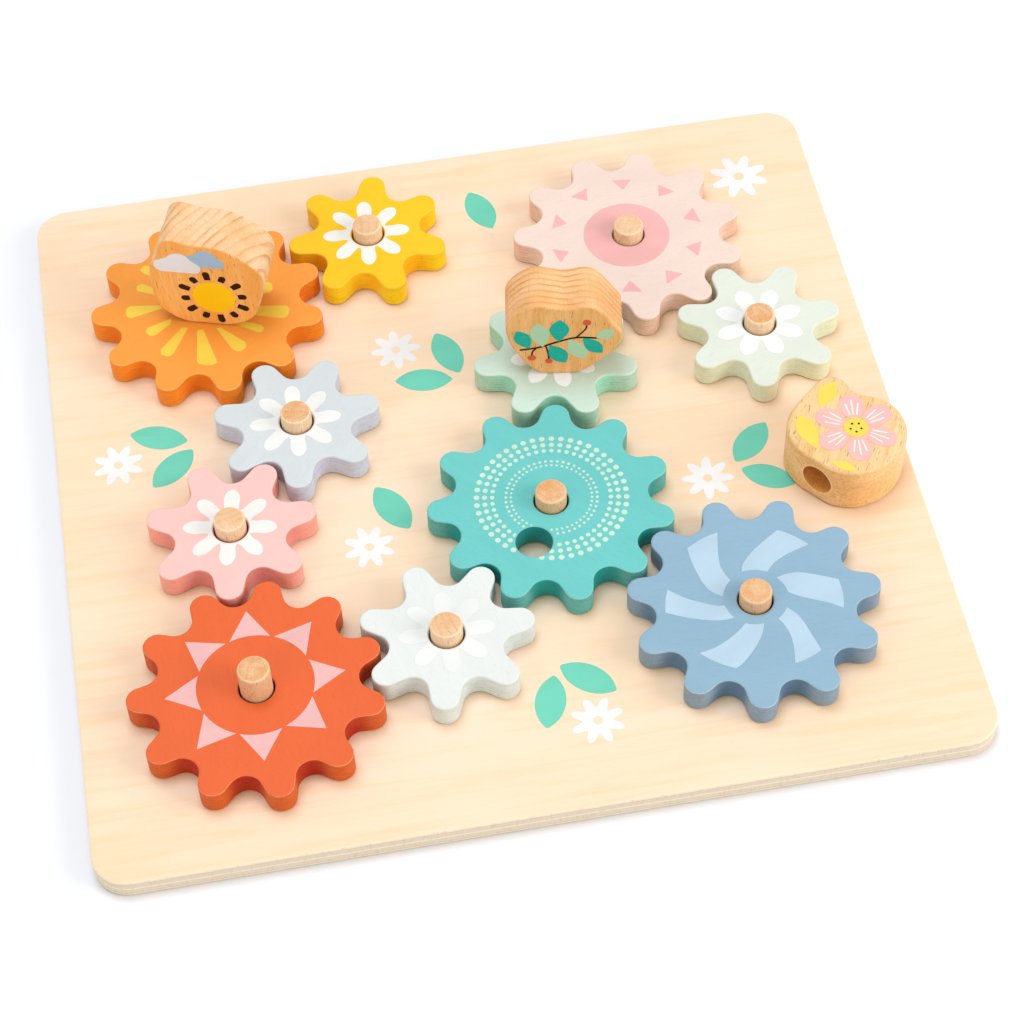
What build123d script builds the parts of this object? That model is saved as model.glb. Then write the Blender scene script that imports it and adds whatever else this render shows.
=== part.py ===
from build123d import *
import math
import os

os.makedirs("parts", exist_ok=True)

# ---------------------------------------------------------------- dimensions
# All in millimetres. Z is up, the origin is the centre of the board's
# underside, X runs to the right and Y to the back.

board_side = 300.0          # square plywood board
board_thickness = 8.0
board_corner_radius = 12.0
board_edge_round = 0.7

running_gap = 0.2           # between stacked faces that turn or lift apart

gear_thickness = 9.5
gear_edge_round = 0.65
gear_bore_radius = 6.2      # loose on its peg
bore_chamfer = 0.35

# Rounded teeth: tip circle, root circle, radius of the rounded tip and of
# the rounded valley. Both sizes share one pitch of 23.04 mm per tooth.
large_gear = dict(teeth=11, tip=43.37, root=34.06, tip_arc=5.0, root_arc=5.72)
small_gear = dict(teeth=7, tip=30.19, root=19.83, tip_arc=4.83, root_arc=5.41)

peg_radius = 5.5
peg_socket_depth = 6.0      # glued into a blind hole in the board
peg_top_round = 1.0
short_peg_rise = 5.3        # above the gear's upper face
tall_peg_rise = 11.1        # long enough to carry a picture block

block_depth = 19.6          # thickness of the three picture blocks
block_edge_round = 0.9
block_hole_radius = 5.9
block_hole_depth = 13.5
block_hole_chamfer = 0.5

crank_hole_radius = 6.5
crank_hole_offset = (-8.96, -16.47)   # from the crank gear's own centre

# name: (size, centre x, centre y, direction of one tooth in degrees, peg rise)
gear_layout = {
    "yellow": (small_gear, -24.98, 106.23, 26.865, short_peg_rise),
    "orange": (large_gear, -88.33, 82.57, 13.291, tall_peg_rise),
    "ice_blue": (small_gear, -62.81, 20.38, 7.388, short_peg_rise),
    "pink": (small_gear, -91.18, -22.79, 5.651, short_peg_rise),
    "red": (large_gear, -89.85, -90.11, 12.809, tall_peg_rise),
    "white": (small_gear, -24.62, -80.66, 2.493, short_peg_rise),
    "teal": (large_gear, 19.94, -32.14, 11.844, short_peg_rise),
    "blue": (large_gear, 79.82, -86.85, 31.649, short_peg_rise),
    "mint": (small_gear, 33.88, 33.71, 27.482, tall_peg_rise),
    "peach": (large_gear, 71.60, 86.75, 6.600, short_peg_rise),
    "pale_green": (small_gear, 109.75, 33.75, 4.169, short_peg_rise),
}

gear_bottom = board_thickness + running_gap
gear_top = gear_bottom + gear_thickness
block_bottom = gear_top + running_gap

# Outlines of the picture blocks, from the end of the flat foot round to its
# start, in the plane of the printed face (x along the foot, y up from it).
sun_turn = -17.9            # direction of the sun block's foot, degrees from X
sun_foot = (-4.0, 8.5)
sun_outline = [
    (8.5, 0.0), (14.2, 1.4), (18.3, 3.9), (21.6, 8.6), (23.7, 15.2),
    (25.6, 22.0), (26.0, 25.6), (25.2, 29.2), (22.5, 32.8), (18.2, 36.6),
    (13.1, 39.9), (7.8, 41.4), (2.4, 41.6), (-1.4, 42.2), (-5.0, 43.3),
    (-8.4, 43.3), (-10.8, 41.4), (-12.3, 37.8), (-13.6, 33.4), (-15.4, 29.8),
    (-16.6, 26.0), (-16.9, 20.6), (-16.6, 14.4), (-15.2, 8.2), (-12.2, 3.9),
    (-8.2, 1.2), (-4.0, 0.0),
]

sprig_turn = -9.3
sprig_foot = (-3.0, 5.0)
sprig_outline = [
    (5.0, 0.0), (8.4, 0.6), (11.4, 2.2), (14.2, 4.8), (17.2, 7.9),
    (20.1, 11.1), (22.2, 14.4), (23.6, 17.4), (23.8, 19.9), (22.6, 22.6),
    (20.6, 25.8), (18.6, 29.0), (16.7, 31.9), (14.6, 34.1), (12.2, 35.4),
    (9.6, 35.6), (6.6, 34.9), (3.2, 34.5), (0.2, 35.0), (-3.2, 36.0),
    (-6.4, 36.4), (-9.3, 35.8), (-11.9, 34.2), (-14.3, 31.9), (-16.4, 29.0),
    (-17.6, 25.6), (-17.5, 21.4), (-16.5, 17.0), (-14.9, 12.9), (-12.9, 9.0),
    (-10.6, 5.3), (-8.2, 2.6), (-5.8, 0.8), (-3.0, 0.0),
]

flower_origin = (112.5, -41.3)         # middle of the flower block's foot
flower_foot_direction = (0.643, -0.766)  # from the domed end to the other
flower_foot = (-5.0, 4.5)
flower_outline = [
    (4.5, 0.0), (9.6, 1.6), (13.9, 4.6), (17.0, 9.0), (18.6, 13.2),
    (19.3, 18.0), (19.0, 23.1), (17.5, 27.9), (14.9, 31.8), (11.2, 34.9),
    (6.8, 36.8), (2.0, 37.2), (-3.0, 35.9), (-6.6, 34.3), (-9.4, 33.8),
    (-12.4, 34.8), (-16.0, 35.7), (-19.2, 34.7), (-21.2, 32.2), (-21.9, 28.8),
    (-21.8, 24.4), (-21.7, 19.0), (-21.2, 13.6), (-19.6, 8.4), (-16.2, 3.9),
    (-10.8, 1.0), (-5.0, 0.0),
]


def tooth_points(size):
    """Arc ends and middles of one tooth, as (radius, angle) about the gear."""
    half = math.pi / size["teeth"]
    reach = size["tip"] - size["tip_arc"]
    depth = size["root"] + size["root_arc"]
    vx, vy = depth * math.cos(half), depth * math.sin(half)
    span = math.hypot(vx - reach, vy)
    lean = math.atan2(vy, vx - reach) - math.acos(
        (size["tip_arc"] + size["root_arc"]) / span)
    tip_end = (reach + size["tip_arc"] * math.cos(lean),
               size["tip_arc"] * math.sin(lean))
    root_start = (vx - size["root_arc"] * math.cos(lean),
                  vy - size["root_arc"] * math.sin(lean))
    return half, tip_end, root_start


def turned(point, angle):
    x, y = point
    return (x * math.cos(angle) - y * math.sin(angle),
            x * math.sin(angle) + y * math.cos(angle))


# ----------------------------------------------------------------- the board
with BuildPart() as baseboard:
    with BuildSketch(Plane.XY):
        RectangleRounded(board_side, board_side, board_corner_radius)
    extrude(amount=board_thickness)
    fillet(baseboard.faces().filter_by(Axis.Z).edges(), board_edge_round)
    with Locations(*[(x, y, board_thickness)
                     for size, x, y, turn, rise in gear_layout.values()]):
        Hole(radius=peg_radius, depth=peg_socket_depth)
baseboard.part.label = "baseboard"
export_step(baseboard.part, "parts/baseboard.step")

# ------------------------------------------------------- the pegs, or axles
for colour, (size, x, y, turn, rise) in gear_layout.items():
    foot_z = board_thickness - peg_socket_depth
    with BuildPart() as peg:
        with BuildSketch(Plane((x, y, foot_z))):
            Circle(peg_radius)
        extrude(amount=gear_top + rise - foot_z)
        fillet(peg.faces().sort_by(Axis.Z)[-1].edges(), peg_top_round)
    peg.part.label = colour + "_gear_peg"
    export_step(peg.part, "parts/" + colour + "_gear_peg.step")

# ---------------------------------------------------------------- the gears
for colour, (size, x, y, turn, rise) in gear_layout.items():
    half, tip_end, root_start = tooth_points(size)
    gear_plane = Plane(
        origin=(x, y, gear_bottom),
        x_dir=(math.cos(math.radians(turn)), math.sin(math.radians(turn)), 0),
        z_dir=(0, 0, 1))
    with BuildPart() as gear:
        with BuildSketch(gear_plane):
            with BuildLine():
                for tooth in range(size["teeth"]):
                    at = 2 * half * tooth
                    here = turned(tip_end, at)
                    valley = turned(root_start, at)
                    mirror_tip = turned((tip_end[0], -tip_end[1]), at)
                    next_flank = turned((root_start[0], -root_start[1]), at + 2 * half)
                    next_tip = turned((tip_end[0], -tip_end[1]), at + 2 * half)
                    ThreePointArc(mirror_tip, turned((size["tip"], 0), at), here)
                    Line(here, valley)
                    ThreePointArc(valley, turned((size["root"], 0), at + half),
                                  next_flank)
                    Line(next_flank, next_tip)
            make_face()
        extrude(amount=gear_thickness)
        fillet(gear.faces().filter_by(Axis.Z).edges(), gear_edge_round)
        with Locations((x, y, gear_top)):
            Hole(radius=gear_bore_radius, depth=gear_thickness)
        if colour == "teal":
            with Locations((x + crank_hole_offset[0], y + crank_hole_offset[1], gear_top)):
                Hole(radius=crank_hole_radius, depth=gear_thickness)
        rims = [edge for edge in gear.edges().filter_by(GeomType.CIRCLE)
                if edge.is_closed]
        chamfer(rims, bore_chamfer)
    gear.part.label = colour + "_gear"
    export_step(gear.part, "parts/" + colour + "_gear.step")

# ------------------------------------------- the two standing picture blocks
for name, carrier, angle, foot, outline in (
        ("sun_block", "orange", sun_turn, sun_foot, sun_outline),
        ("sprig_block", "mint", sprig_turn, sprig_foot, sprig_outline)):
    size, x, y, turn, rise = gear_layout[carrier]
    along = (math.cos(math.radians(angle)), math.sin(math.radians(angle)), 0)
    facing = (along[1], -along[0], 0)
    face_plane = Plane(origin=(x, y, block_bottom), x_dir=along, z_dir=facing)
    with BuildPart() as block:
        with BuildSketch(face_plane):
            with BuildLine():
                Spline(*outline, tangents=((1, 0), (1, 0)), tangent_scalars=(1, 1))
                Line((foot[0], 0), (foot[1], 0))
            make_face()
        extrude(amount=block_depth / 2, both=True)
        fillet(block.faces().filter_by(Plane(face_plane.origin, z_dir=facing)).edges(),
               block_edge_round)
        with Locations((x, y, block_bottom)):
            Cylinder(block_hole_radius, block_hole_depth,
                     align=(Align.CENTER, Align.CENTER, Align.MIN), mode=Mode.SUBTRACT)
        mouth = block.edges().filter_by(GeomType.CIRCLE).sort_by(Axis.Z)[0]
        chamfer(mouth, block_hole_chamfer)
    block.part.label = name
    export_step(block.part, "parts/" + name + ".step")

# ---------------------------------------------------- the lying picture block
flower_bottom = board_thickness + running_gap
up_picture = (-flower_foot_direction[1], flower_foot_direction[0], 0)
flower_plane = Plane(
    origin=(flower_origin[0], flower_origin[1], flower_bottom),
    x_dir=(flower_foot_direction[0], flower_foot_direction[1], 0), z_dir=(0, 0, 1))
flower_mouth = Plane(
    origin=(flower_origin[0], flower_origin[1], flower_bottom + block_depth / 2),
    x_dir=(flower_foot_direction[0], flower_foot_direction[1], 0), z_dir=up_picture)
with BuildPart() as flower_block:
    with BuildSketch(flower_plane):
        with BuildLine():
            Spline(*flower_outline, tangents=((1, 0), (1, 0)), tangent_scalars=(1, 1))
            Line((flower_foot[0], 0), (flower_foot[1], 0))
        make_face()
    extrude(amount=block_depth)
    fillet(flower_block.faces().filter_by(Axis.Z).edges(), block_edge_round)
    with BuildSketch(flower_mouth.offset(-4)):
        Circle(block_hole_radius)
    extrude(amount=4 + block_hole_depth, mode=Mode.SUBTRACT)
flower_block.part.label = "flower_block"
export_step(flower_block.part, "parts/flower_block.step")
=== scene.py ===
import math

import bmesh
import bpy
from mathutils import Matrix, Vector
from mathutils.geometry import tessellate_polygon


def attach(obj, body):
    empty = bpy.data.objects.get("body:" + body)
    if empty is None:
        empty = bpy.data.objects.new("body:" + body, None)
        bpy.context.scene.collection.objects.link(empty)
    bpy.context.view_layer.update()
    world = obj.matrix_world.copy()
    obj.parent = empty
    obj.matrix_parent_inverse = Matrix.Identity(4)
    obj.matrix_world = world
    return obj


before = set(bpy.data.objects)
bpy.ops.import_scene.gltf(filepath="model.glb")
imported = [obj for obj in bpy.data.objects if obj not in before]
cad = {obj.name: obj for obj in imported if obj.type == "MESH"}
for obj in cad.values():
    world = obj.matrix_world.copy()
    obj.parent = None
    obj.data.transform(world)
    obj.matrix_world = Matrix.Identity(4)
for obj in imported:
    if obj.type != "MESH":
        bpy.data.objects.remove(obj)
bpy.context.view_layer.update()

# The light that falls on an upward face, as a multiple of a face's own colour, and
# the share of white that the gloss adds. Surface colours are written as they look
# in that light, and worked back from it; over 255 is brighter than the eye's white.
LIGHT, GLOSS = 1.385, 0.022


def surface(red, green, blue, light=LIGHT):
    """A surface colour that looks like this colour, of 0-255, in the scene's light."""
    out = []
    for c in (red, green, blue):
        c /= 255
        c = c / 12.92 if c <= 0.04045 else ((c + 0.055) / 1.055) ** 2.4
        out.append(max(0.002, min((c - GLOSS) / light, 0.93)))
    return (*out, 1.0)


# ------------------------------------------------------------------ materials
class Look:
    """A procedural material whose patterns are laid out in the frame's metres."""

    def __init__(self, name, specular=0.35, coat=0.0, coat_roughness=0.3):
        self.material = bpy.data.materials.new(name)
        self.material.use_nodes = True
        tree = self.material.node_tree
        self.nodes, self.links = tree.nodes, tree.links
        self.shader = next(n for n in self.nodes if n.type == "BSDF_PRINCIPLED")
        self.shader.inputs["Specular IOR Level"].default_value = specular
        self.shader.inputs["Coat Weight"].default_value = coat
        self.shader.inputs["Coat Roughness"].default_value = coat_roughness
        own = self.nodes.new("ShaderNodeTexCoord")
        self.place, self.normal = own.outputs["Object"], own.outputs["Normal"]
        split = self.nodes.new("ShaderNodeSeparateXYZ")
        self.links.new(self.place, split.inputs[0])
        self.height = split.outputs["Z"]
        turned = self.nodes.new("ShaderNodeSeparateXYZ")
        self.links.new(self.normal, turned.inputs[0])
        self.upward = self.math("ABSOLUTE", turned.outputs["Z"])

    def facing(self, direction):
        """How squarely the surface faces a direction of the frame, from -1 to 1."""
        node = self.nodes.new("ShaderNodeVectorMath")
        node.operation = "DOT_PRODUCT"
        self.links.new(self.normal, node.inputs[0])
        node.inputs[1].default_value = direction
        return node.outputs["Value"]

    def reach(self, x, y):
        """The distance from an upright axis, in metres."""
        node = self.nodes.new("ShaderNodeVectorMath")
        node.operation = "SUBTRACT"
        self.links.new(self.place, node.inputs[0])
        node.inputs[1].default_value = (x, y, 0)
        split = self.nodes.new("ShaderNodeSeparateXYZ")
        self.links.new(node.outputs[0], split.inputs[0])
        return self.math("SQRT", self.math("ADD", self.times(split.outputs["X"], split.outputs["X"]),
                                           self.times(split.outputs["Y"], split.outputs["Y"])))

    def new(self, kind, inputs, out=0, **settings):
        node = self.nodes.new("ShaderNode" + kind)
        for key, value in settings.items():
            setattr(node, key, value)
        for key, value in inputs.items():
            if isinstance(value, bpy.types.NodeSocket):
                self.links.new(value, node.inputs[key])
            else:
                node.inputs[key].default_value = value
        return node.outputs[out]

    def math(self, operation, a, b=0.0, clamp=False):
        return self.new("Math", {0: a, 1: b}, operation=operation, use_clamp=clamp)

    def local(self, size, turn=(0, 0, 0), origin=(0, 0, 0)):
        """The place in a turned frame, in steps of size metres."""
        return self.new("Mapping", {"Vector": self.place, "Location": origin,
                                    "Rotation": turn, "Scale": size},
                        vector_type="TEXTURE")

    def noise(self, size, turn=(0, 0, 0), origin=(0, 0, 0), detail=2.0,
              roughness=0.5, distortion=0.0):
        return self.new("TexNoise", {
            "Vector": self.local(size, turn, origin), "Scale": 1.0, "Detail": detail,
            "Roughness": roughness, "Distortion": distortion})

    def remap(self, value, low, high, to_low=0.0, to_high=1.0):
        return self.new("MapRange", {
            "Value": value, "From Min": low, "From Max": high,
            "To Min": to_low, "To Max": to_high}, interpolation_type="SMOOTHSTEP")

    def times(self, a, b):
        return self.math("MULTIPLY", a, b)

    def mix(self, amount, a, b, blend="MIX"):
        node = self.nodes.new("ShaderNodeMix")
        node.data_type, node.blend_type = "RGBA", blend
        for index, value in ((0, amount), (6, a), (7, b)):
            if isinstance(value, bpy.types.NodeSocket):
                self.links.new(value, node.inputs[index])
            else:
                node.inputs[index].default_value = value
        return node.outputs[2]

    def ramp(self, amount, stops, interpolation="LINEAR"):
        node = self.nodes.new("ShaderNodeValToRGB")
        node.color_ramp.interpolation = interpolation
        elements = node.color_ramp.elements
        while len(elements) < len(stops):
            elements.new(1.0)
        for element, (at, colour) in zip(elements, stops):
            element.position, element.color = at, colour
        self.links.new(amount, node.inputs[0])
        return node.outputs[0]

    def finish(self, colour, roughness, bump=None, depth=0.00005, strength=0.5):
        self.links.new(colour, self.shader.inputs["Base Color"])
        self.links.new(roughness, self.shader.inputs["Roughness"])
        if bump is not None:
            normal = self.new("Bump", {"Height": bump, "Distance": depth,
                                       "Strength": strength})
            self.links.new(normal, self.shader.inputs["Normal"])
        return self.material


def board_look():
    """Pale rotary-cut veneer, its grain along X, with the ply bands on the edge."""
    look = Look("board_plywood", specular=0.2)
    streak = look.noise((0.075, 0.0045, 0.0045), detail=5, roughness=0.6, distortion=0.9)
    broad = look.noise((0.16, 0.018, 0.018), origin=(0.05, 0.02, 0), detail=2, distortion=0.6)
    cloud = look.noise((0.07, 0.05, 0.05), origin=(0.02, 0.01, 0), detail=3)
    fine = look.noise((0.005, 0.00045, 0.00045), detail=2)
    pores = look.noise((0.0022, 0.0004, 0.0004), origin=(0.3, 0.1, 0), detail=1)
    tone = look.math("ADD", look.times(streak, 0.35),
                     look.math("ADD", look.times(broad, 0.2), look.times(cloud, 0.45)))
    top = look.mix(look.remap(tone, 0.40, 0.62),
                   surface(267, 239, 213), surface(265, 232, 200))
    top = look.mix(look.times(look.remap(streak, 0.5, 0.68), 0.22), top,
                   surface(266, 219, 169))
    top = look.mix(look.times(look.remap(fine, 0.55, 0.8), 0.12), top,
                   surface(252, 203, 147))
    top = look.mix(look.times(look.remap(pores, 0.66, 0.78), 0.16), top,
                   surface(222, 180, 124))
    cream, tan = surface(246, 231, 208, 1.12), surface(230, 215, 196, 1.12)
    line, pale = surface(204, 182, 154, 1.12), surface(243, 238, 226, 1.12)
    wobble = look.noise((0.03, 0.03, 0.02), detail=1)
    z = look.math("ADD", look.math("DIVIDE", look.height, 0.008),
                  look.times(look.math("SUBTRACT", wobble, 0.5), 0.05))
    bands = look.ramp(z, [
        (0.0, cream), (0.155, cream), (0.175, line), (0.20, tan), (0.45, tan),
        (0.47, pale), (0.53, pale), (0.55, tan), (0.79, tan), (0.815, line),
        (0.835, cream), (1.0, cream)])
    ticks = look.noise((0.0009, 0.0009, 0.0025), detail=3)
    bands = look.mix(look.times(look.remap(ticks, 0.5, 0.78), 0.3), bands,
                     surface(206, 180, 138))
    edge = look.remap(look.upward, 0.55, 0.97, 1.0, 0.0)
    colour = look.mix(edge, top, bands)
    rough = look.remap(streak, 0.3, 0.7, 0.5, 0.6)
    return look.finish(colour, rough, look.math("ADD", fine, look.times(ticks, edge)),
                       depth=0.00003, strength=0.35)


def paint_look(name, face, side, rim, valley, centre, tip, root, turn, seed):
    """Satin paint on a plywood gear: the veneer's pores show faintly on the face, the
    plies and their end grain on the side, painted shade darkens the paint between
    the teeth, and a pale line along the rounded rim is partly worn paint and partly painted highlight."""
    look = Look(name, specular=0.2)
    about = (0, 0, math.radians(turn))
    at = (seed * 0.013, seed * 0.029, 0)
    pores = look.noise((0.0045, 0.00045, 0.00045), about, at, detail=3)
    cloud = look.noise((0.03, 0.012, 0.012), about, at, detail=3)
    speck = look.noise((0.0009, 0.0009, 0.0009), about, at, detail=2)
    dark = tuple(c * 0.88 for c in face[:3]) + (1.0,)
    light = tuple(min(c * 1.03 + 0.005, 0.95) for c in face[:3]) + (1.0,)
    top = look.mix(look.remap(cloud, 0.35, 0.65), face, light)
    top = look.mix(look.times(look.remap(pores, 0.54, 0.78), 0.6), top, dark)
    top = look.mix(look.times(look.remap(speck, 0.55, 0.75), 0.3), top, dark)
    # seven plies; the cross plies show end grain
    ply = look.math("DIVIDE", look.math("SUBTRACT", look.height, 0.0082), 0.0095 / 7)
    wobble = look.noise((0.012, 0.012, 0.003), about, at, detail=2)
    ply = look.math("ADD", ply, look.times(look.math("SUBTRACT", wobble, 0.5), 0.5))
    part = look.math("FRACT", ply)
    seam = look.math("MAXIMUM", look.remap(part, 0.76, 0.95),
                     look.remap(part, 0.04, 0.18, 1.0, 0.0))
    broken = look.remap(look.noise((0.004, 0.004, 0.001), about, at, detail=3),
                        0.44, 0.60)
    seam = look.times(seam, broken)
    cross = look.math("PINGPONG", look.math("FLOOR", ply), 1.0)
    hatch = look.times(look.remap(
        look.noise((0.0006, 0.0006, 0.0016), about, at, detail=3), 0.5, 0.72), cross)
    deep = tuple(c ** 1.25 * 0.62 for c in side[:3]) + (1.0,)
    # painted shade: the flanks turn to the darker valley colour towards the roots of the teeth
    inward = look.remap(look.reach(*centre), root + 0.0005, root + 0.72 * (tip - root), 1.0, 0.0)
    inward = look.times(inward, look.remap(cloud, 0.3, 0.7, 0.75, 1.0))
    flank = look.mix(look.remap(cloud, 0.35, 0.65, 0.0, 0.35), side, face)
    flank = look.mix(inward, flank, valley)
    flank = look.mix(look.times(seam, 0.5), flank, deep)
    flank = look.mix(look.times(hatch, 0.34), flank, deep)
    edge = look.remap(look.upward, 0.35, 0.62, 1.0, 0.0)
    colour = look.mix(edge, top, flank)
    # a pale line along the rounded rim, strongest on the tips of the teeth: partly worn paint, partly
    # painted highlight
    worn_and_highlit_rim = look.times(look.remap(look.upward, 0.34, 0.5),
                      look.remap(look.upward, 0.7, 0.86, 1.0, 0.0))
    worn_and_highlit_rim = look.times(worn_and_highlit_rim, look.remap(speck, 0.34, 0.58, 0.35, 1.0))
    worn_and_highlit_rim = look.times(worn_and_highlit_rim, look.remap(look.reach(*centre), root, tip - 0.001, 0.45, 1.0))
    colour = look.mix(worn_and_highlit_rim, colour, rim)
    rough = look.remap(cloud, 0.3, 0.7, 0.46, 0.56)
    relief = look.math("SUBTRACT", look.math("MULTIPLY", speck, 0.6),
                       look.math("ADD", look.times(pores, 0.5),
                                 look.times(look.math("ADD", seam, hatch), edge)))
    return look.finish(colour, rough, relief, depth=0.00006, strength=0.4)


def beech_look(name, origin, turn, spacing, pale, mid, dark, fleck, seed=0.0,
               bend=0.9, lines=0.8, pores=0.67, face=None, side=None, hole=None, end=None):
    """Beech with its growth rings across the turned frame's X and its fibres along Z:
    thin ring lines, short fine pores along the fibres, and a darker, warmer tone on
    the face cut along the rings, partly that cut's own tone and partly painted warm
    bounce light, where face gives its direction and its two colours; side is the same
    for the faces at its edge. hole is a lying blind hole: the middle of its mouth, its
    cross direction, its direction inward, its depth and its inner colour, which turns
    darker towards the hole's upper side as painted shade.
    end is a dowel's: how deep its end grain has taken the oil, that tone, and the tone
    of its rounded rim and sides: painted light, paler than the wood, and on some pegs less pale, as
    painted shade."""
    look = Look(name, specular=0.2)
    at = tuple(c + seed * 0.017 for c in origin)
    sway = look.noise((0.020, 0.014, 0.05), turn, at, detail=2, roughness=0.5)
    wave = look.noise((0.005, 0.004, 0.03), turn, at, detail=2)
    split = look.nodes.new("ShaderNodeSeparateXYZ")
    look.links.new(look.local((spacing, spacing, spacing), turn, origin), split.inputs[0])
    ring = look.math("ADD", split.outputs["X"],
                     look.math("ADD", look.times(sway, bend * 3.0), look.times(wave, 0.35)))
    part = look.math("FRACT", ring)
    late = look.times(look.remap(part, 0.35, 0.92), look.remap(part, 0.94, 1.0, 1.0, 0.0))
    late = look.times(late, late)
    strength = look.remap(look.noise((0.009, 0.014, 0.03), turn, at, detail=2),
                          0.35, 0.65, 0.3, 1.0)
    late = look.times(late, strength)
    cloud = look.noise((0.012, 0.012, 0.03), turn, at, detail=3)
    colour = look.mix(look.remap(cloud, 0.35, 0.65), pale, mid)
    lined = look.mix(look.times(late, lines), colour, dark)
    if side:
        hatch = look.math("MAXIMUM",
                          look.remap(look.noise((0.0007, 0.0007, 0.0030), (0.0, 0.5, 0.4), at,
                                                detail=3), 0.5, 0.68),
                          look.remap(look.noise((0.0007, 0.0030, 0.0007), (0.4, 0.0, 0.9), at,
                                                detail=3), 0.5, 0.68))
        flank = look.mix(look.times(hatch, 0.45),
                         look.mix(look.remap(cloud, 0.35, 0.65), side[0], side[1]), dark)
        lined = look.mix(look.remap(look.upward, 0.4, 0.8, 1.0, 0.0), lined, flank)
    if face:
        direction, plain, deep = face
        # the face's darker, warmer tone: partly the tangential cut's own colour, partly painted warm
        # bounce light
        flat = look.remap(look.facing(direction), 0.72, 0.95)
        cut_and_bounce_tone = look.mix(look.remap(look.noise((0.004, 0.004, 0.03), turn, at, detail=4),
                                         0.35, 0.65), plain, deep)
        lined = look.mix(flat, lined, cut_and_bounce_tone)
    if end:
        strength, deep, painted_side_light_and_shade = end
        soak = look.remap(look.noise((0.0045, 0.0045, 0.0045), turn, at, detail=3), 0.36, 0.62,
                          0.45, 1.0)
        grit = look.remap(look.noise((0.0006, 0.0006, 0.0006), turn, at, detail=2), 0.45, 0.68)
        flat = look.remap(look.upward, 0.90, 0.995)
        soak = look.times(look.math("ADD", soak, look.times(grit, 0.35)), strength)
        lined = look.mix(look.times(flat, soak), lined, deep)
        # painted light: the rounded rim and sides take a paler tone, less pale on some pegs as painted
        # shade
        lined = look.mix(look.remap(look.upward, 0.88, 0.97, 0.7, 0.0), lined, painted_side_light_and_shade)
    across = look.noise((0.009, 0.0004, 0.012), turn, at, detail=2)
    lined = look.mix(look.times(look.remap(across, 0.5, 0.7), 0.2), lined, dark)
    fibre = look.noise((0.00035, 0.00035, 0.006), turn, at, detail=3)
    colour = look.mix(look.times(look.remap(fibre, 0.48, 0.7), 0.34), lined, dark)
    rays = look.noise((0.00042, 0.00042, 0.0032), turn, at, detail=1)
    rays = look.remap(rays, pores, pores + 0.06)
    if side:
        rays = look.times(rays, look.remap(look.upward, 0.5, 0.9))
    colour = look.mix(look.times(rays, 0.6), colour, fleck)
    if hole:
        middle, cross, inward, depth, inner = hole
        away = look.new("VectorMath", {0: look.place, 1: middle}, operation="SUBTRACT")
        aside = look.new("VectorMath", {0: away, 1: cross}, out="Value",
                         operation="DOT_PRODUCT")
        within = look.new("VectorMath", {0: away, 1: inward}, out="Value",
                          operation="DOT_PRODUCT")
        within = look.remap(within, depth + 0.0002, depth + 0.0006, 1.0, 0.0)
        rise = look.math("SUBTRACT", look.height, middle[2])
        span = look.math("SQRT", look.math("ADD", look.times(aside, aside),
                                           look.times(rise, rise)))
        # painted shade: the inside of the hole turns darker towards its upper side
        shade = look.remap(look.math("ADD", rise, look.times(aside, -0.6)), -0.001, 0.005)
        bore = look.mix(look.times(look.remap(fibre, 0.40, 0.62), 0.7), inner,
                        tuple(c * 0.6 for c in inner[:3]) + (1.0,))
        bore = look.mix(shade, bore, tuple(0.55 * c ** 1.7 for c in inner[:3]) + (1.0,))
        colour = look.mix(look.times(within, look.remap(span, 0.00585, 0.00605, 1.0, 0.0)),
                          colour, bore)
        lip = look.times(look.remap(span, 0.00585, 0.00600), look.remap(span, 0.0063, 0.0066, 1.0, 0.0))
        colour = look.mix(look.times(look.times(lip, within), 0.8), colour, tuple(
            min(c * 1.3, 0.93) for c in pale[:3]) + (1.0,))
    rough = look.remap(fibre, 0.3, 0.7, 0.52, 0.64)
    relief = look.math("ADD", look.times(fibre, 0.6), look.times(rays, -0.8))
    return look.finish(colour, rough, relief, depth=0.00005, strength=0.4)


def ink_look(name, colour, through, amount=0.12, turn=0.0):
    """A thin printed layer: even colour with the wood's pores showing through."""
    look = Look(name, specular=0.2)
    about = (0, 0, math.radians(turn))
    pores = look.noise((0.004, 0.0005, 0.0006), about, detail=3)
    cloud = look.noise((0.02, 0.01, 0.01), about, detail=2)
    light = tuple(min(c * 1.05 + 0.004, 0.95) for c in colour[:3]) + (1.0,)
    base = look.mix(look.remap(cloud, 0.35, 0.65), colour, light)
    base = look.mix(look.times(look.remap(pores, 0.52, 0.8), amount * 2.5), base, through)
    speck = look.noise((0.0006, 0.0006, 0.0006), detail=1)
    rough = look.remap(cloud, 0.3, 0.7, 0.42, 0.52)
    return look.finish(base, rough, speck, depth=0.00002, strength=0.25)


# ---------------------------------------------------------------- flat outlines
def arc(centre, radius, start, end, steps):
    """Points on an arc, from start to end degrees, both included."""
    out = []
    for i in range(steps + 1):
        a = math.radians(start + (end - start) * i / steps)
        out.append((centre[0] + radius * math.cos(a), centre[1] + radius * math.sin(a)))
    return out


def circle(centre, radius, steps=24):
    return arc(centre, radius, 0, 360, steps)[:-1]


def ellipse(centre, a, b, turn=0.0, steps=48):
    c, s = math.cos(math.radians(turn)), math.sin(math.radians(turn))
    out = []
    for i in range(steps):
        t = 2 * math.pi * i / steps
        x, y = a * math.cos(t), b * math.sin(t)
        out.append((centre[0] + x * c - y * s, centre[1] + x * s + y * c))
    return out


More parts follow.
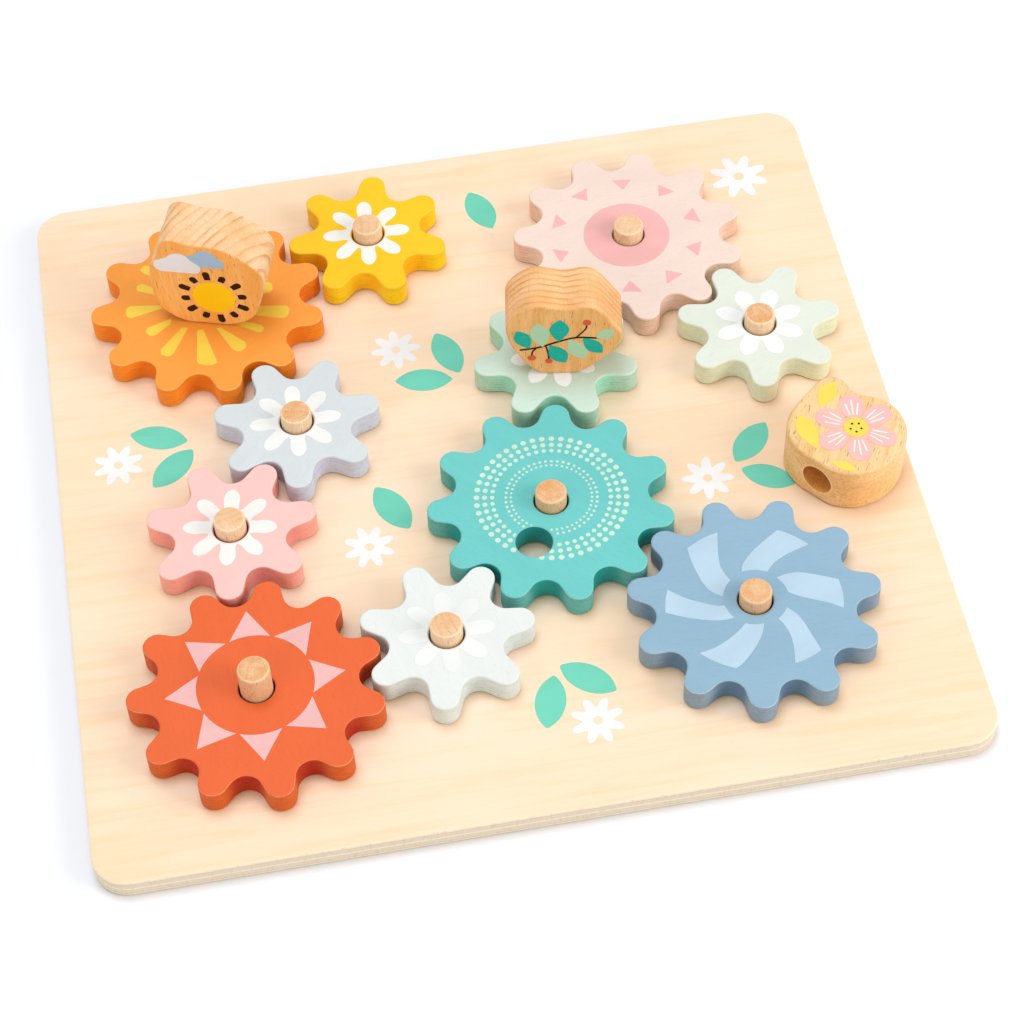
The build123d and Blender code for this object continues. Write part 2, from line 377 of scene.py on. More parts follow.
def smooth(points, closed=True, per=6):
    """A Catmull-Rom curve through the points."""
    n, out = len(points), []
    spans = n if closed else n - 1
    for i in range(spans):
        p = [points[(i + k) % n] if closed else points[max(0, min(n - 1, i + k))]
             for k in (-1, 0, 1, 2)]
        for j in range(per):
            t = j / per
            out.append(tuple(
                0.5 * (2 * p[1][d] + (p[2][d] - p[0][d]) * t
                       + (2 * p[0][d] - 5 * p[1][d] + 4 * p[2][d] - p[3][d]) * t * t
                       + (3 * p[1][d] - p[0][d] - 3 * p[2][d] + p[3][d]) * t ** 3)
                for d in (0, 1)))
    if not closed:
        out.append(points[-1])
    return out


def turned(points, degrees, shift=(0.0, 0.0)):
    c, s = math.cos(math.radians(degrees)), math.sin(math.radians(degrees))
    return [(shift[0] + x * c - y * s, shift[1] + x * s + y * c) for x, y in points]


def stroke(points, width, per=8, taper=False):
    """A round-ended line of this width along a smooth open curve."""
    line = smooth(points, closed=False, per=per) if len(points) > 2 else points
    left, right = [], []
    n = len(line)
    for i, (x, y) in enumerate(line):
        x0, y0 = line[max(0, i - 1)]
        x1, y1 = line[min(n - 1, i + 1)]
        length = math.hypot(x1 - x0, y1 - y0) or 1.0
        half = width / 2 * (1 - 0.6 * i / (n - 1) if taper else 1)
        nx, ny = -(y1 - y0) / length * half, (x1 - x0) / length * half
        left.append((x + nx, y + ny))
        right.append((x - nx, y - ny))
    out = []
    for ends, (cx, cy), (sx, sy) in ((left, line[-1], left[-1]), (right[::-1], line[0], right[0])):
        out += ends
        start = math.degrees(math.atan2(sy - cy, sx - cx))
        radius = math.hypot(sx - cx, sy - cy)
        out += arc((cx, cy), radius, start, start - 180, 8)[1:-1]
    return out


def daisy(petals, tip, root, widths, phase, shift=(0.0, 0.0)):
    """One closed outline of round-ended petals that meet at the root radius.
    widths are (distance, half width) pairs from the root outward."""
    step = 360 / petals
    out = []
    for k in range(petals):
        side = [(r, -w) for r, w in widths] + [(tip, 0.0)] + [(r, w) for r, w in widths[::-1]]
        petal = smooth(side, closed=False, per=4)
        out += turned(petal, phase + k * step, shift)
        valley = math.radians(phase + (k + 0.5) * step)
        out.append((shift[0] + root * math.cos(valley), shift[1] + root * math.sin(valley)))
    return out


# ------------------------------------------------------------- printed pieces
def printed(name, shapes, origin, across, up, layer, look, body, slot=None):
    """A thin printed piece on a flat face. Shapes are lists of loops in millimetres,
    the first the outline and the rest its holes; across and up are the face's axes."""
    across, up = Vector(across).normalized(), Vector(up).normalized()
    out = across.cross(up)
    base = Vector(origin) / 1000
    low, high = -0.00003, 0.00002 + 0.00004 * layer
    mesh = bmesh.new()
    for loops in shapes:
        flat = [Vector((x, y, 0)) for loop in loops for x, y in loop]
        triangles = tessellate_polygon([[Vector((x, y, 0)) for x, y in loop] for loop in loops])
        rows = []
        for h in (low, high):
            rows.append([mesh.verts.new(base + across * (p.x / 1000) + up * (p.y / 1000) + out * h)
                         for p in flat])
        for a, b, c in triangles:
            corners = [flat[i] for i in (a, b, c)]
            if ((corners[1] - corners[0]).cross(corners[2] - corners[0])).z < 0:
                a, c = c, a
            try:
                mesh.faces.new([rows[1][i] for i in (a, b, c)])
                mesh.faces.new([rows[0][i] for i in (c, b, a)])
            except ValueError:
                pass
        start = 0
        for loop in loops:
            n = len(loop)
            for i in range(n):
                j = start + i
                k = start + (i + 1) % n
                mesh.faces.new((rows[0][j], rows[0][k], rows[1][k], rows[1][j]))
            start += n
    bmesh.ops.recalc_face_normals(mesh, faces=mesh.faces)
    data = bpy.data.meshes.new(name)
    mesh.to_mesh(data)
    mesh.free()
    piece = bpy.data.objects.new(name, data)
    bpy.context.scene.collection.objects.link(piece)
    piece.data.materials.append(look)
    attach(piece, body)
    return piece


# ------------------------------------------------------------------- the gears
BOARD_TOP, GEAR_TOP, LYING_TOP = 8.0, 17.7, 27.8
GEARS = {
    # colour: (centre x, centre y, direction of one tooth in degrees)
    "yellow": (-24.98, 106.23, 26.865),
    "orange": (-88.33, 82.57, 13.291),
    "ice_blue": (-62.81, 20.38, 7.388),
    "pink": (-91.18, -22.79, 5.651),
    "red": (-89.85, -90.11, 12.809),
    "white": (-24.62, -80.66, 2.493),
    "teal": (19.94, -32.14, 11.844),
    "blue": (79.82, -86.85, 31.649),
    "mint": (33.88, 33.71, 27.482),
    "peach": (71.60, 86.75, 6.600),
    "pale_green": (109.75, 33.75, 4.169),
}
SIDE = 0.95      # the light on a gear's side, as LIGHT is on its face
# colour: (face, side, pale rim of worn paint and painted highlight, painted shade between the teeth)
PAINT = {
    "yellow": ((266, 211, 50), (270, 206, 0), (268, 226, 112), (274, 182, 0)),
    "orange": ((260, 168, 78), (238, 136, 50), (266, 202, 136), (224, 122, 38)),
    "ice_blue": ((223, 230, 237), (196, 204, 228), (244, 247, 251), (200, 205, 226)),
    "pink": ((261, 209, 205), (242, 164, 152), (262, 230, 226), (221, 147, 144)),
    "red": ((243, 113, 66), (201, 98, 53), (252, 166, 134), (171, 52, 40)),
    "white": ((239, 244, 245), (209, 219, 222), (250, 252, 252), (208, 220, 226)),
    "teal": ((119, 210, 210), (101, 171, 168), (168, 230, 224), (43, 149, 150)),
    "blue": ((153, 188, 214), (135, 155, 178), (200, 219, 233), (93, 124, 157)),
    "mint": ((216, 238, 226), (170, 212, 194), (234, 247, 240), (160, 220, 200)),
    "peach": ((250, 227, 218), (230, 189, 171), (258, 242, 236), (230, 206, 196)),
    "pale_green": ((235, 242, 232), (222, 226, 199), (250, 252, 246), (213, 223, 206)),
}
TEETH = {"orange": 11, "red": 11, "teal": 11, "blue": 11, "peach": 11}
for number, (colour, (x, y, turn)) in enumerate(GEARS.items()):
    face, side, rim, valley = PAINT[colour]
    tip, root = (0.04337, 0.03406) if colour in TEETH else (0.03019, 0.01983)
    look = paint_look(colour + "_paint", surface(*face), surface(*side, SIDE), surface(*rim),
                      surface(*valley, SIDE), (x / 1000, y / 1000), tip, root,
                      turn + 20 * number, number)
    for place in cad[colour + "_gear"].material_slots:
        place.material = look

beech = (surface(256, 224, 190), surface(250, 210, 170), surface(228, 162, 112),
         surface(186, 116, 68))
# how deep each peg's end grain has taken the oil
OILED = {"yellow": 0.24, "ice_blue": 0.58, "pink": 0.12, "red": 0.66, "white": 0.38,
         "teal": 0.68, "blue": 0.66, "peach": 0.14, "pale_green": 0.7}
for number, colour in enumerate(GEARS):
    x, y, turn = GEARS[colour]
    # each peg's rim and sides are painted paler as painted light; on the pegs of the orange, red, teal
    # and blue gears they are less pale, as painted shade from their bores
    look = beech_look(colour + "_peg_beech", (x / 1000 - 0.009, y / 1000, 0),
                      (0.10, 0.05, math.radians(37 * number)), 0.0026, *beech,
                      seed=number, bend=1.0, lines=0.5,
                      end=(OILED.get(colour, 0.5), surface(236, 168, 108),
                           surface(258, 214, 170) if colour in TEETH and colour != "peach"
                           else surface(278, 244, 208)))
    for place in cad[colour + "_gear_peg"].material_slots:
        place.material = look

board = board_look()
for place in cad["baseboard"].material_slots:
    place.material = board

# -------------------------------------------------------- printed on the board
UP = (0, 1, 0)
X = (1, 0, 0)
daisy_white = ink_look("daisy_white_ink", surface(254, 251, 254), surface(254, 240, 222), 0.05)
leaf_green = ink_look("leaf_green_ink", surface(122, 218, 195), surface(160, 226, 202), 0.10)

BOARD_DAISIES = [
    # centre x, centre y, direction of a petal, size
    (121.7, 117.2, 18.2, 1.24), (-22.4, 55.0, 0.5, 1.01), (-128.1, 20.4, 17.1, 1.0),
    (-44.7, -32.9, 17.5, 1.0), (77.4, -25.8, 37.5, 1.02), (19.6, -118.1, 17.6, 1.0),
]
BOARD_PETAL = [(5.4, 1.72), (6.2, 1.62), (7.1, 1.5), (8.0, 1.24), (8.75, 0.8)]
shapes = []
for x, y, phase, size in BOARD_DAISIES:
    ring = daisy(8, 9.25 * size, 4.95 * size, [(r * size, w * size) for r, w in BOARD_PETAL],
                 phase, (x, y))
    shapes.append([ring, circle((x, y), 1.65 * size, 20)])
printed("board_daisies", shapes, (0, 0, BOARD_TOP), X, UP, 1, daisy_white, "base", "white_paint")

BOARD_LEAVES = [
    ((17.3, 129.2), (22.9, 108.9)), ((-6.7, 60.0), (-1.1, 39.8)),
    ((-24.7, 40.1), (-4.2, 37.1)), ((-122.6, 33.6), (-102.7, 26.8)),
    ((-101.3, 22.4), (-116.5, 8.0)), ((-38.9, -7.4), (-29.8, -27.5)),
    ((103.2, -5.1), (88.9, -20.3)), ((90.2, -24.1), (107.3, -34.0)),
    ((11.4, -94.4), (28.0, -107.5)), ((8.6, -97.9), (2.6, -117.9)),
]
LEAF_HALF = [(10.45, 0.0), (10.1, 0.72), (9.2, 1.55), (8.0, 2.62), (6.0, 3.86), (4.0, 4.62),
             (2.0, 5.06), (0.0, 5.2)]
shapes = []
for (x0, y0), (x1, y1) in BOARD_LEAVES:
    scale = math.hypot(x1 - x0, y1 - y0) / 20.8
    half = [(r * scale, w * scale) for r, w in LEAF_HALF]
    side = half + [(-r, w) for r, w in half[-2::-1]]
    leaf = smooth(side, closed=False, per=3) + smooth(
        [(r, -w) for r, w in side[::-1]], closed=False, per=3)[1:-1]
    shapes.append([turned(leaf, math.degrees(math.atan2(y1 - y0, x1 - x0)),
                          ((x0 + x1) / 2, (y0 + y1) / 2))])
printed("board_leaves", shapes, (0, 0, BOARD_TOP), X, UP, 1, leaf_green, "base", "teal_paint")


# ------------------------------------------------------- printed on the gears
def on_gear(name, shapes, colour, look, layer=1, slot=None):
    x, y, turn = GEARS[colour]
    t = math.radians(turn)
    return printed(name, shapes, (x, y, GEAR_TOP), (math.cos(t), math.sin(t), 0),
                   (-math.sin(t), math.cos(t), 0), layer, look, colour + "_gear_body",
                   slot or colour + "_paint")


BORE = circle((0, 0), 6.62, 48)
GEAR_PETAL = [(8.4, 2.62), (9.6, 2.6), (11.0, 2.78), (12.4, 2.84), (13.8, 2.56), (15.0, 2.0), (15.9, 1.2)]
GEAR_DAISIES = {
    # petal direction from the tooth, shift of the print, colour, petal fullness
    "yellow": (14.5, (-0.25, 0.6), (253, 252, 250), 1.0),
    "ice_blue": (36.0, (-0.4, 0.25), (250, 251, 253), 1.0),
    "pink": (29.4, (-0.25, 0.45), (252, 250, 250), 1.0),
    "white": (41.3, (0.2, 0.45), (247, 249, 251), 1.03),
    "mint": (20.4, (0.0, 0.4), (262, 268, 274), 1.1),
    "pale_green": (9.6, (0.0, 0.25), (256, 258, 262), 1.15),
}
for colour, (phase, shift, white, full) in GEAR_DAISIES.items():
    look = ink_look(colour + "_daisy_ink", surface(*white), surface(*PAINT[colour][0]),
                    0.10, GEARS[colour][2])
    petals = [(r, w * full) for r, w in GEAR_PETAL]
    on_gear(colour + "_gear_daisy", [[daisy(8, 16.4 + 2 * (full - 1), 7.6, petals, phase, shift),
                                      BORE]], colour, look, slot="white_paint")

# rays of the orange gear: inner left, outer left, outer right, inner right, bulge
RAYS = [
    ((-16.3, 6.5), (-27.4, 11.1), (-29.2, 5.3), (-16.3, 4.7), 0.9),
    ((-12.4, 11.5), (-19.7, 19.9), (-21.4, 16.1), (-13.2, 9.7), 1.3),
    ((-7.0, 13.4), (-14.5, 27.7), (-17.6, 25.2), (-8.6, 12.6), 1.2),
    ((-14.7, -1.4), (-24.9, -2.4), (-23.0, -6.9), (-15.8, -3.7), 1.3),
    ((-12.6, -7.2), (-23.7, -14.8), (-19.8, -18.3), (-10.6, -8.3), 1.5),
    ((-7.9, -10.8), (-13.3, -25.6), (-6.6, -29.2), (-5.7, -11.3), 0.8),
    ((-1.2, -12.8), (1.0, -25.6), (6.5, -24.5), (0.3, -12.8), 1.8),
    ((4.7, -12.2), (11.5, -20.6), (15.0, -19.0), (6.3, -11.6), 1.4),
    ((9.4, -9.6), (23.2, -18.6), (26.9, -13.4), (10.9, -6.6), 1.1),
    ((12.8, -2.8), (23.4, -4.3), (24.5, 1.2), (12.9, -0.7), 0.9),
    ((12.4, 3.4), (26.8, 7.6), (24.7, 13.0), (11.6, 5.2), 1.2),
    ((9.6, 8.2), (18.9, 16.2), (15.2, 20.0), (8.4, 9.6), 1.3),
    ((5.2, 11.8), (11.7, 26.6), (5.6, 28.4), (3.2, 12.4), 1.2),
    ((-0.6, 12.8), (-0.4, 26.0), (-5.8, 25.4), (-2.6, 12.6), 1.3),
]
shapes = []
for a, b, c, d, bulge in RAYS:
    mx, my = (b[0] + c[0]) / 2, (b[1] + c[1]) / 2
    wide = math.hypot(c[0] - b[0], c[1] - b[1])
    nx, ny = -(c[1] - b[1]) / wide, (c[0] - b[0]) / wide
    if nx * (mx - (a[0] + d[0]) / 2) + ny * (my - (a[1] + d[1]) / 2) < 0:
        nx, ny = -nx, -ny
    cap = []
    for i in range(13):
        t = -1 + i / 6
        lift = bulge * (1 - abs(t) ** 3.2) - 0.9 * abs(t) ** 6
        cap.append((mx + (c[0] - mx) * t + nx * lift, my + (c[1] - my) * t + ny * lift))
    shapes.append([[a] + cap + [d]])
ray_yellow = ink_look("ray_yellow_ink", surface(255, 217, 88), surface(252, 186, 84), 0.12, 13.3)
on_gear("orange_gear_rays", shapes, "orange", ray_yellow, slot="yellow_paint")

# triangles of the red gear, on a ring
pink_ink = ink_look("pink_ink", surface(246, 192, 193), surface(244, 150, 128), 0.10, 12.8)
RED_TRIANGLES = [
    ((6.9, 30.4), (-2.5, 20.9), (11.2, 17.7)), ((25.7, 17.5), (11.9, 16.8), (19.1, 5.2)),
    ((29.4, -5.5), (19.6, 3.4), (16.4, -9.5)), ((15.7, -24.4), (15.5, -10.5), (3.7, -17.8)),
    ((-7.1, -28.0), (2.4, -18.0), (-11.2, -15.0)), ((-25.9, -15.0), (-12.0, -14.4), (-19.7, -2.8)),
    ((-29.5, 7.9), (-19.5, -1.4), (-16.3, 12.0)), ((-16.1, 26.8), (-15.5, 13.4), (-3.6, 20.3)),
]
shapes = []
for tip, p, q in RED_TRIANGLES:
    centre = (0.0, 1.2)
    a0 = math.degrees(math.atan2(p[1] - centre[1], p[0] - centre[0]))
    a1 = math.degrees(math.atan2(q[1] - centre[1], q[0] - centre[0]))
    if a1 - a0 > 180:
        a1 -= 360
    if a0 - a1 > 180:
        a1 += 360
    base = arc(centre, 19.7, a0, a1, 12)
    shapes.append([[tip] + base])
on_gear("red_gear_triangles", shapes, "red", pink_ink, slot="pink_paint")

# the ring and triangles of the peach gear
peach_ink = ink_look("peach_ink", surface(251, 190, 190), surface(250, 214, 208), 0.10, 6.6)
PEACH_TRIANGLES = [
    ((2.8, 28.6), (9.8, 26.8), (5.3, 22.5)), ((18.9, 21.1), (23.5, 15.6), (17.2, 15.0)),
    ((27.5, 5.4), (28.0, -2.5), (22.1, 1.1)), ((25.0, -12.1), (18.5, -12.8), (21.4, -18.7)),
    ((7.5, -21.9), (13.0, -25.5), (5.8, -28.5)), ((-6.8, -22.8), (-11.3, -27.1), (-4.0, -29.4)),
    ((-17.2, -16.2), (-22.9, -17.0), (-17.6, -22.8)), ((-29.5, 1.3), (-24.0, -1.9), (-28.6, -6.2)),
    ((-22.9, 18.1), (-20.6, 12.2), (-26.6, 11.3)), ((-14.7, 25.0), (-7.7, 27.7), (-9.5, 21.2)),
]
shapes = [[circle((-0.75, -0.25), 16.15, 72), BORE]]
for corners in PEACH_TRIANGLES:
    rounded = []
    for i in range(3):
        p, q, r = corners[i - 1], corners[i], corners[(i + 1) % 3]
        for t in (0.09, 0.03):
            rounded.append((q[0] + (p[0] - q[0]) * t, q[1] + (p[1] - q[1]) * t))
        for t in (0.03, 0.09):
            rounded.append((q[0] + (r[0] - q[0]) * t, q[1] + (r[1] - q[1]) * t))
    shapes.append([rounded])
on_gear("peach_gear_ring", shapes, "peach", peach_ink, slot="pink_paint")

# rings of dots on the teal gear, clipped by its finger hole
t = math.radians(-GEARS["teal"][2])
hole = (-8.96 * math.cos(t) + 16.47 * math.sin(t), -8.96 * math.sin(t) - 16.47 * math.cos(t))
reach = 6.5 + 0.4
shapes = []
for radius, dot, sides in ((26.15, 1.04, 16), (23.35, 0.95, 14), (20.7, 0.82, 12),
                           (15.95, 0.55, 10), (14.15, 0.48, 10)):
    for k in range(48):
        a = math.radians(0.25 + k * 7.5)
        c = (0.6 + radius * math.cos(a), 1.1 + radius * math.sin(a))
        gap = math.hypot(c[0] - hole[0], c[1] - hole[1])
        if gap < reach - 0.25 * dot:
            continue
        loop = circle(c, dot, sides)
        if gap < reach + dot:
            loop = [p if math.hypot(p[0] - hole[0], p[1] - hole[1]) > reach else
                    (hole[0] + (p[0] - hole[0]) * reach / math.hypot(p[0] - hole[0], p[1] - hole[1]),
                     hole[1] + (p[1] - hole[1]) * reach / math.hypot(p[0] - hole[0], p[1] - hole[1]))
                    for p in loop]
        shapes.append([loop])
dot_ink = ink_look("dot_ink", surface(212, 238, 222), surface(150, 222, 214), 0.10, 11.8)
on_gear("teal_gear_dots", shapes, "teal", dot_ink, slot="white_paint")

# curved blades of the blue gear: one edge outward, then the other edge outward
BLADES = [
    ([(-7.2, 8.1), (-8.6, 12.0), (-8.4, 16.1), (-6.5, 22.0), (-4.3, 27.0), (-2.0, 30.9)],
     [(-0.6, 11.3), (0.0, 15.0), (1.6, 18.8), (5.3, 23.4), (10.3, 28.8)]),
    ([(11.0, 5.4), (15.7, 6.5), (20.7, 6.2), (25.3, 5.2), (29.6, 4.0)],
     [(4.6, 11.3), (7.5, 13.4), (13.5, 15.0), (20.3, 15.5), (26.2, 15.6)]),
    ([(10.3, -5.3), (11.6, -8.5), (14.8, -13.9), (17.1, -17.5), (19.4, -22.5)],
     [(11.6, 1.5), (14.8, 0.6), (18.9, -2.1), (23.0, -7.5), (26.6, -13.0)]),
    ([(0.0, -10.7), (-0.2, -13.9), (-2.0, -18.9), (-5.2, -23.5), (-8.6, -27.3)],
     [(5.5, -9.4), (6.0, -13.5), (5.3, -18.0), (3.5, -23.5), (1.6, -29.4)]),
    ([(-9.3, -4.7), (-14.7, -5.5), (-22.9, -5.0), (-29.0, -3.0)],
     [(-4.7, -8.9), (-8.4, -11.6), (-13.8, -13.9), (-20.6, -15.5), (-24.3, -15.5)]),
    ([(-10.4, -0.5), (-12.9, 0.6), (-16.5, 3.4), (-21.5, 9.3), (-26.1, 16.5)],
     [(-9.3, 5.2), (-11.5, 7.0), (-13.8, 10.6), (-17.0, 16.5), (-19.0, 22.9)]),
]
shapes = []
for one, other in BLADES:
    one, other = smooth(one, closed=False), smooth(other, closed=False)

    def between(p, q):
        r0, r1 = math.hypot(*p), math.hypot(*q)
        a0, a1 = math.atan2(p[1], p[0]), math.atan2(q[1], q[0])
        if a1 - a0 > math.pi:
            a1 -= 2 * math.pi
        if a0 - a1 > math.pi:
            a1 += 2 * math.pi
        return [((r0 + (r1 - r0) * i / 8) * math.cos(a0 + (a1 - a0) * i / 8),
                 (r0 + (r1 - r0) * i / 8) * math.sin(a0 + (a1 - a0) * i / 8))
                for i in range(1, 8)]

    shapes.append([one + between(one[-1], other[-1]) + other[::-1] + between(other[0], one[0])])
blade_ink = ink_look("blade_ink", surface(192, 218, 241), surface(170, 204, 228), 0.10, 31.6)
on_gear("blue_gear_blades", shapes, "blue", blade_ink, slot="ice_blue_paint")

# ----------------------------------------------------------- the picture blocks
SUN_TURN, SPRIG_TURN = -17.9, -9.3


def standing_face(colour, turn):
    """Origin, across and up of a standing block's printed face."""
    x, y, _ = GEARS[colour]
    a = math.radians(turn)
    return ((x + math.sin(a) * 9.8, y - math.cos(a) * 9.8, 17.9),
            (math.cos(a), math.sin(a), 0), (0, 0, 1))


def outward(turn):
    """The direction that a standing block's printed face looks in."""
    a = math.radians(turn)
    return (math.sin(a), -math.cos(a), 0)


block_wood = (surface(264, 224, 184), surface(258, 208, 158), surface(236, 166, 104),
              surface(168, 98, 50))
cream_wood = (surface(256, 224, 174), surface(252, 214, 156), surface(228, 168, 104),
              surface(158, 100, 54))
amber_wood = (surface(262, 214, 164), surface(254, 196, 136), surface(232, 156, 88),
              surface(164, 96, 44))
sun_x, sun_y, _ = GEARS["orange"]
sprig_x, sprig_y, _ = GEARS["mint"]
# the face colours of the sun and sprig blocks: partly the tangential cut's own darker tone, partly
# painted warm bounce light
looks = {
    "sun_block": beech_look(
        "sun_block_beech", (sun_x / 1000, sun_y / 1000, 0.02), (0.0, 0.06, math.radians(134)),
        0.0032, *block_wood, seed=3, bend=0.16, lines=0.95,
        face=(outward(SUN_TURN), surface(252, 190, 116, 1.02), surface(244, 172, 94, 1.02))),
    "sprig_block": beech_look(
        "sprig_block_beech", (sprig_x / 1000, sprig_y / 1000, 0.02),
        (0.04, 0.0, math.radians(SPRIG_TURN + 90)), 0.0027, *amber_wood, seed=5, bend=0.3,
        lines=0.9,
        face=(outward(SPRIG_TURN), surface(244, 190, 132, 1.02), surface(236, 174, 110, 1.02))),
    "flower_block": beech_look(
        "flower_block_beech", (0.1125, -0.0413, 0.018),
        (math.radians(90), 0.0, math.radians(62 - 90)), 0.0050, *cream_wood, seed=8, bend=0.3,
        lines=0.3, pores=0.655, side=(surface(254, 210, 158, 1.02), surface(248, 194, 136, 1.02)),
        hole=((0.1125, -0.0413, 0.018), (0.643, -0.766, 0), (0.766, 0.643, 0), 0.0135,
              surface(256, 138, 40, 0.72))),
}
for name, look in looks.items():
    for place in cad[name].material_slots:
        place.material = look


def on_block(name, shapes, face, look, layer, body, slot=None):
    return printed(name, shapes, *face, layer, look, body, slot)


def fine_ink(name, rgb, under=(240, 190, 130), light=LIGHT):
    return ink_look(name, surface(*rgb, light), surface(*under), 0.07)


def petal(root, tip, half, fullness=0.55, steps=14):
    """A pointed oval from root to tip, widest at this share of its length."""
    length = math.hypot(tip[0] - root[0], tip[1] - root[1])
    side = []
    for i in range(1, steps):
        t = i / steps
        bent = t ** (math.log(0.5) / math.log(fullness))
        side.append((t * length, half * math.sin(math.pi * bent) ** 0.85))
    outline = [(0.0, 0.0)] + [(x, -w) for x, w in side] + [(length, 0.0)] \
        + [(x, w) for x, w in side[::-1]]
    return turned(outline, math.degrees(math.atan2(tip[1] - root[1], tip[0] - root[0])), root)


STANDING = 1.0       # the light on a standing face, as LIGHT is on a lying one
sun_yellow = fine_ink("sun_yellow_ink", (255, 200, 24), light=STANDING)
dark_ink = fine_ink("dark_ink", (56, 22, 14), (70, 30, 20), light=STANDING)
cloud_pale = fine_ink("cloud_pale_ink", (222, 222, 232), light=STANDING)
cloud_blue = fine_ink("cloud_blue_ink", (158, 184, 214), light=STANDING)
face = standing_face("orange", SUN_TURN)

# a sun with dark rays, and two clouds
SUN = (6.2, 14.9)
on_block("sun_disc", [[circle(SUN, 7.9, 64)]], face, sun_yellow, 1, "sun_block_body",
         "yellow_paint")
rays = []
for k in range(12):
    a = 360 / 12 * k + 8
    inner, outer, half = 9.2, (13.0 if k % 2 else 12.0), 1.5
    rays.append([turned([(inner, -half * 0.75)] + arc((outer - 0.9, 0), half * 0.9, -90, 90, 10)
                        + [(inner, half * 0.75)], a, SUN)])
on_block("sun_rays", rays, face, dark_ink, 1, "sun_block_body")


def cloud(x, y, size):
    """A flat-footed cloud of three arcs."""
    out = arc((x + 4.6 * size, y + 2.1 * size), 2.1 * size, -90, 62, 10)
    out += arc((x + 0.6 * size, y + 4.0 * size), 3.7 * size, 22, 150, 14)
    out += arc((x - 4.4 * size, y + 2.4 * size), 2.4 * size, 104, 270, 12)
    return out


on_block("cloud_behind", [[cloud(4.6, 30.6, 1.12)]], face, cloud_blue, 2, "sun_block_body",
         "blue_paint")
on_block("cloud_before", [[cloud(-5.6, 27.0, 1.28)]], face, cloud_pale, 3, "sun_block_body",
         "ice_blue_paint")

# a sprig with leaves and berries
face = standing_face("mint", SPRIG_TURN)
leaf_pale = fine_ink("leaf_pale_ink", (176, 206, 176), light=STANDING)
leaf_teal = fine_ink("leaf_teal_ink", (34, 170, 158), light=STANDING)
berry_red = fine_ink("berry_red_ink", (212, 92, 66), light=STANDING)
stem = [(-12.6, 13.4), (-6.0, 14.6), (0.8, 17.4), (7.4, 19.4), (15.2, 18.8)]
on_block("sprig_stem", [[stroke(stem, 0.85)],
                        [stroke([(-6.8, 14.4), (-8.4, 12.2), (-8.7, 9.8)], 0.6)],
                        [stroke([(-3.6, 15.2), (-2.8, 11.4), (-2.6, 8.2)], 0.6)],
                        [stroke([(7.2, 19.4), (10.6, 23.8), (11.0, 26.4)], 0.6)]],
         face, dark_ink, 1, "sprig_block_body")
on_block("sprig_leaves_teal", [
    [petal((-9.4, 14.0), (-13.8, 23.6), 3.0)], [petal((1.0, 17.4), (1.6, 29.0), 3.5)],
    [petal((-2.2, 15.8), (3.4, 6.0), 3.3)], [petal((9.6, 19.2), (16.6, 10.8), 2.9)]],
    face, leaf_teal, 2, "sprig_block_body", "teal_paint")
on_block("sprig_leaves_pale", [
    [petal((-4.6, 14.8), (-6.6, 27.4), 3.6)], [petal((4.6, 18.6), (10.4, 8.0), 3.3)],
    [petal((14.4, 18.8), (20.8, 22.6), 2.6)]],
    face, leaf_pale, 2, "sprig_block_body", "mint_paint")
on_block("sprig_berries", [[circle((-8.7, 9.0), 1.5, 20)], [circle((11.1, 27.3), 1.5, 20)],
                           [circle((-2.6, 7.0), 1.3, 18)]],
         face, berry_red, 2, "sprig_block_body", "red_paint")

# a round-petalled flower with two leaves
face = ((112.5, -41.3, LYING_TOP), (0.643, -0.766, 0), (0.766, 0.643, 0))
flower_yellow = fine_ink("flower_yellow_ink", (255, 226, 104))
flower_pink = fine_ink("flower_pink_ink", (255, 198, 197))
flower_white = fine_ink("flower_white_ink", (253, 247, 243))
flower_dark = fine_ink("flower_dark_ink", (60, 30, 18), (70, 36, 24))
CORE = (1.0, 20.6)
petals = []
for k in range(6):
    a = math.radians(60 * k + 14)
    petals.append([ellipse((CORE[0] + 9.5 * math.cos(a), CORE[1] + 9.5 * math.sin(a)), 5.5, 4.35,
                           60 * k + 14, 36)])
on_block("flower_petals", petals, face, flower_pink, 2, "flower_block_body", "pink_paint")
on_block("flower_leaves", [[petal((-4.0, 4.4), (-17.8, 12.8), 3.4)],
                           [petal((3.2, 3.0), (12.2, 5.4), 1.7)],
                           [petal((-14.4, 20.4), (-17.0, 32.8), 3.2)]],
         face, flower_yellow, 1, "flower_block_body", "yellow_paint")
on_block("flower_core", [[circle(CORE, 4.3, 40)]], face, flower_yellow, 3, "flower_block_body",
         "yellow_paint")
lines = []
for k in range(6):
    for lean in (-15, 0, 15):
        a = math.radians(60 * k + 14 + lean * 0.8)
        r0, r1 = 6.0, (10.8 if lean else 12.2)
        lines.append([stroke([(CORE[0] + r0 * math.cos(a), CORE[1] + r0 * math.sin(a)),
                              (CORE[0] + r1 * math.cos(a), CORE[1] + r1 * math.sin(a))], 0.62)])
on_block("flower_lines", lines, face, flower_white, 4, "flower_block_body", "white_paint")
on_block("flower_dots", [[circle((CORE[0] + 2.0 * math.cos(a), CORE[1] + 2.0 * math.sin(a)), 0.42, 12)]
                         for a in (0.4, 1.66, 2.92, 4.17, 5.43)],
         face, flower_dark, 4, "flower_block_body")

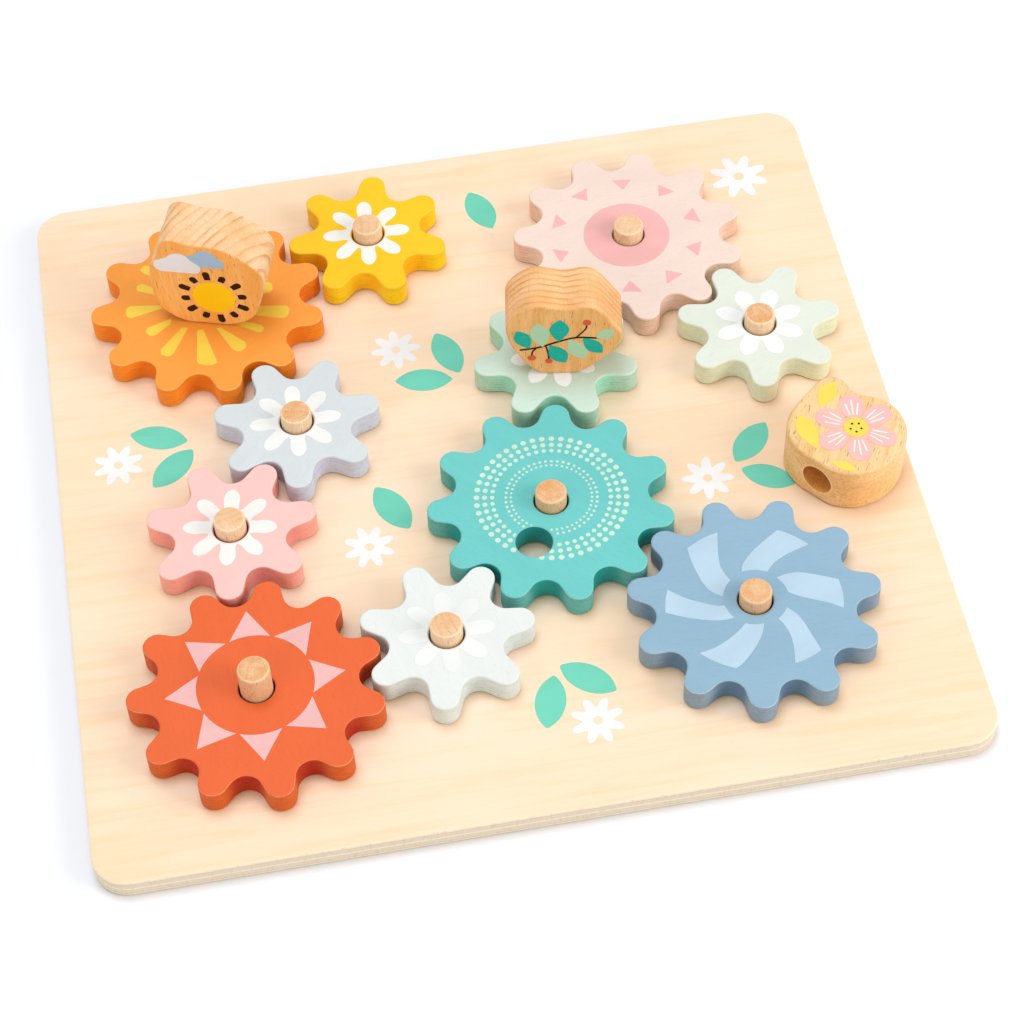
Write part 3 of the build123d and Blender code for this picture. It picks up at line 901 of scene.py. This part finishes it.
# ------------------------------------------------------------- floor and light
bpy.ops.mesh.primitive_plane_add(size=6, location=(0, 0, -0.0004))
floor = bpy.context.object
floor.name = "studio_floor"
look = Look("studio_paper", specular=0.15)
paper = look.noise((0.25, 0.25, 0.25), detail=2)
floor.data.materials.append(look.finish(
    look.mix(paper, (0.745, 0.757, 0.825, 1.0), (0.75, 0.762, 0.83, 1.0)),
    look.remap(paper, 0.3, 0.7, 0.8, 0.9)))

world = bpy.data.worlds.new("studio")
bpy.context.scene.world = world
world.use_nodes = True
sky = next(n for n in world.node_tree.nodes if n.type == "BACKGROUND")
sky.inputs["Color"].default_value = (1.0, 0.91, 0.70, 1.0)
sky.inputs["Strength"].default_value = 0.72


def soft_light(name, place, aim, size, power, colour=(1, 1, 1)):
    data = bpy.data.lights.new(name, "AREA")
    data.shape, data.size, data.energy, data.color = "SQUARE", size, power, colour
    lamp = bpy.data.objects.new(name, data)
    lamp.location = place
    lamp.rotation_mode = "QUATERNION"
    lamp.rotation_quaternion = (Vector(aim) - Vector(place)).to_track_quat("-Z", "Y")
    bpy.context.scene.collection.objects.link(lamp)
    return lamp


soft_light("key", (-0.18, 0.42, 2.20), (0, 0, 0), 1.1, 31.0, (0.71, 0.83, 1.0))
soft_light("right_fill", (1.35, -0.70, 0.85), (0, 0, 0), 1.0, 16.5, (1.0, 0.985, 0.96))
soft_light("left_fill", (-1.10, -0.90, 0.80), (0, 0, 0), 0.9, 4.5, (1.0, 0.985, 0.96))

# --------------------------------------------------------------------- camera
view = bpy.data.cameras.new("camera")
view.lens, view.sensor_width, view.sensor_fit = 90.0, 36.0, "HORIZONTAL"
view.clip_start, view.clip_end = 0.05, 20.0
camera = bpy.data.objects.new("camera", view)
bpy.context.scene.collection.objects.link(camera)
right = Vector((0.98457, -0.17322, -0.02485)).normalized()
ahead = Vector((0.08529, 0.59901, -0.79619)).normalized()
right = (right - ahead * right.dot(ahead)).normalized()
above = right.cross(ahead)
camera.matrix_world = Matrix((
    (right.x, above.x, -ahead.x, -0.07004),
    (right.y, above.y, -ahead.y, -0.56651),
    (right.z, above.z, -ahead.z, 0.72461),
    (0, 0, 0, 1)))
bpy.context.scene.camera = camera

shown = bpy.context.scene.view_settings
shown.view_transform = "Standard"
shown.look = "None"
shown.exposure = 0.0
shown.gamma = 1.0
